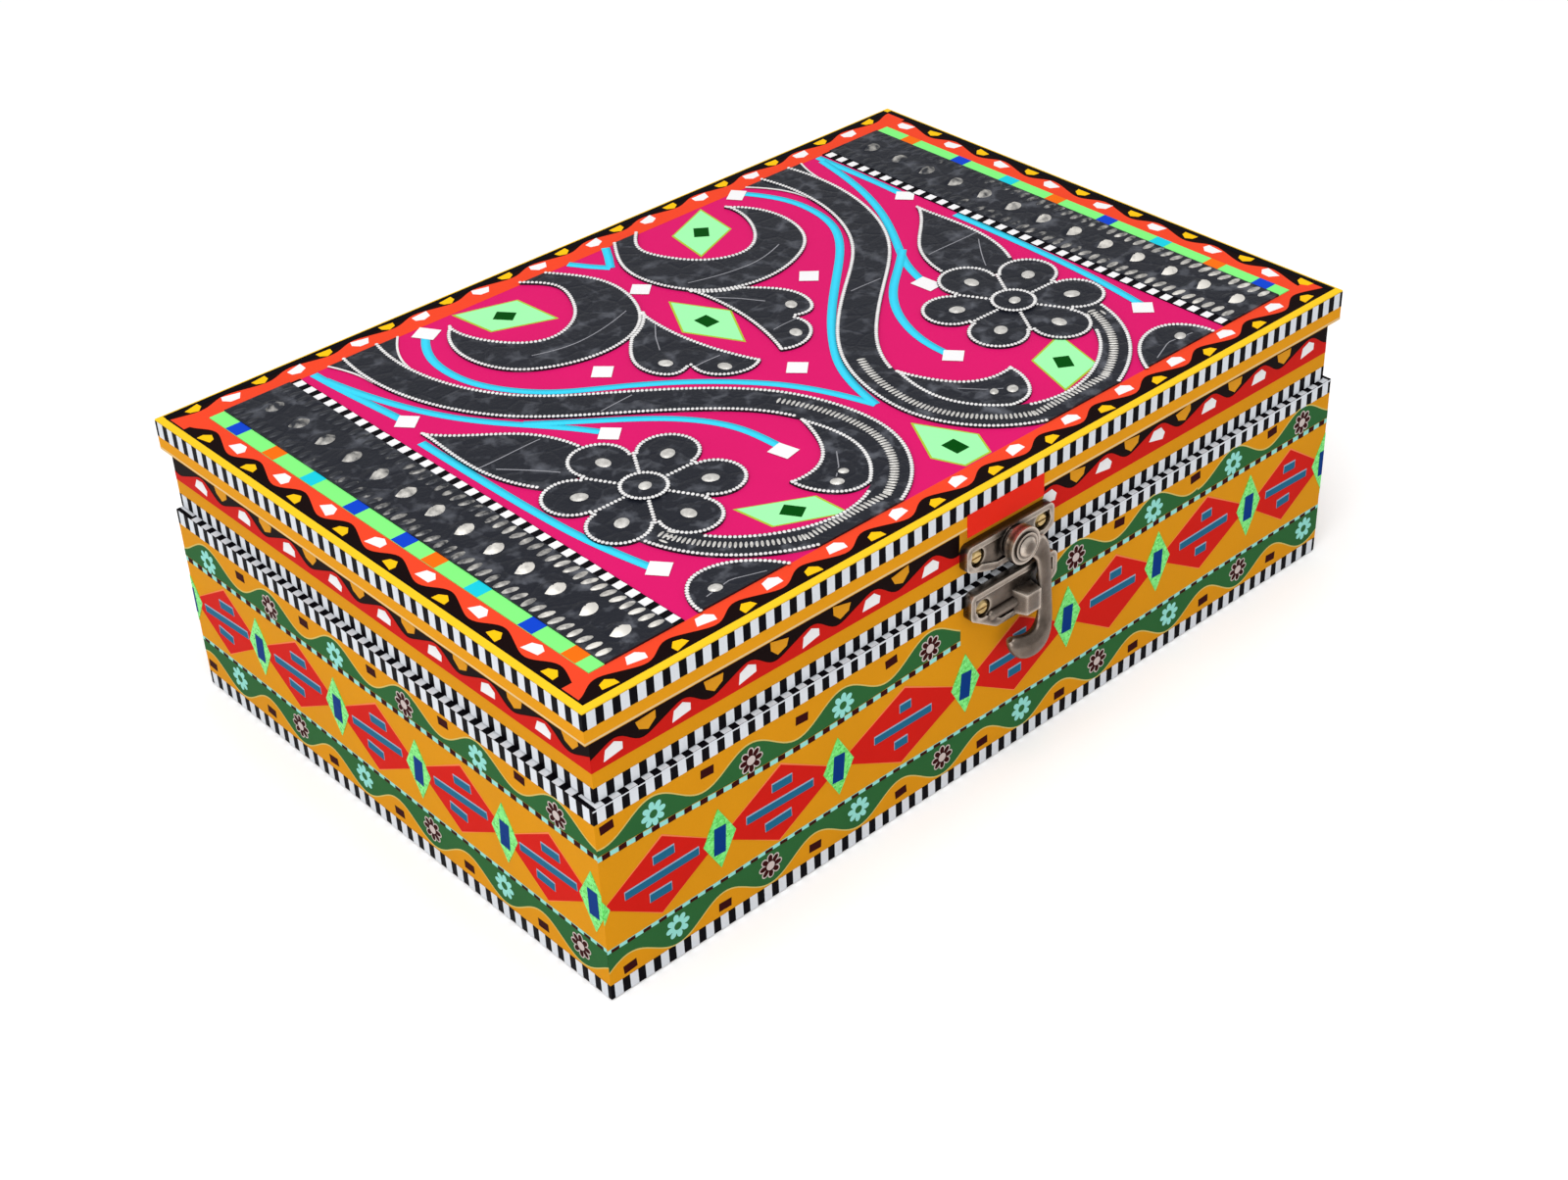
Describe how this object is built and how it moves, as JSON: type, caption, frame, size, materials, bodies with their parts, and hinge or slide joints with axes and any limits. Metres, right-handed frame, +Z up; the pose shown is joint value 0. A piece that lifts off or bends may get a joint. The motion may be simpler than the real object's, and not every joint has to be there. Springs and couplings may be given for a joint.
{
  "type": "decorative storage box",
  "caption": "Rectangular wooden box with a hinged lid and a swing-hook latch, covered with cut reflective film and embossed foil ornament in truck-art style.",
  "frame": {"origin": "centre of the underside of the base, on the surface it stands on", "axes": "+X along the front to the right, +Y from the latch side to the hinges, +Z up"},
  "size_m": [0.2546, 0.1811, 0.0833],
  "materials": {
    "board": "matte",
    "pin_steel": "satin",
    "felt": "matte",
    "stripe_film": "gloss",
    "amber_film": "gloss",
    "yellow_film": "gloss",
    "red_film": "gloss",
    "orange_red_film": "gloss",
    "magenta_film": "gloss",
    "green_film": "gloss",
    "white_film": "gloss",
    "dark_foil": "embossed",
    "antique_bronze": "aged",
    "brass_screw": "satin"
  },
  "bodies": {
    "base": {"base_back_wall": "board", "base_bottom_panel": "board", "base_corner_pins": "pin_steel", "base_diamond_tape": "amber_film", "base_floor_lining": "felt", "base_foot_stripe_tape": "stripe_film", "base_front_wall": "board", "base_hinge_screws": "brass_screw", "base_left_wall": "board", "base_lower_wave_tape": "amber_film", "base_right_wall": "board", "base_rim_stripe_tape": "stripe_film", "base_upper_wave_tape": "amber_film", "base_wall_lining": "felt", "bottom_panel_pins": "pin_steel", "catch_plate": "antique_bronze", "catch_screws": "brass_screw", "left_hinge_base_leaf": "antique_bronze", "left_hinge_pin": "pin_steel", "right_hinge_base_leaf": "antique_bronze", "right_hinge_pin": "pin_steel"},
    "lid": {"foil_corner_leaves": "dark_foil", "foil_crescents": "dark_foil", "foil_flowers": "dark_foil", "foil_inner_leaves": "dark_foil", "foil_leaves": "dark_foil", "foil_palmettes": "dark_foil", "foil_scrolls": "dark_foil", "latch_plate": "antique_bronze", "latch_rivet": "antique_bronze", "latch_screws": "brass_screw", "left_chequer_strip": "green_film", "left_dashed_strip": "white_film", "left_foil_band": "dark_foil", "left_hinge_lid_leaf": "antique_bronze", "lid_amber_band": "amber_film", "lid_back_wall": "board", "lid_border_tape": "orange_red_film", "lid_corner_pins": "pin_steel", "lid_edge_tape": "yellow_film", "lid_field_film": "magenta_film", "lid_front_wall": "board", "lid_hinge_screws": "brass_screw", "lid_latch_patch": "red_film", "lid_left_wall": "board", "lid_panel_lining": "felt", "lid_panel_pins": "pin_steel", "lid_right_wall": "board", "lid_rim_stripe_tape": "stripe_film", "lid_top_panel": "board", "lid_wall_lining": "felt", "lid_wave_tape": "red_film", "right_chequer_strip": "green_film", "right_dashed_strip": "white_film", "right_foil_band": "dark_foil", "right_hinge_lid_leaf": "antique_bronze"},
    "hook": {"swing_hook": "antique_bronze"}
  },
  "joints": [
    {"name": "lid_hinge", "type": "hinge", "parent": "base", "child": "lid", "pos_m": [0, 0.0867, 0.05545], "axis": [-1, 0, 0], "range_deg": [0, 90]},
    {"name": "hook_swing", "type": "hinge", "parent": "lid", "child": "hook", "pos_m": [0.0018, -0.0885, 0.0639], "axis": [0, -1, 0], "range_deg": [0, 100]}
  ]
}
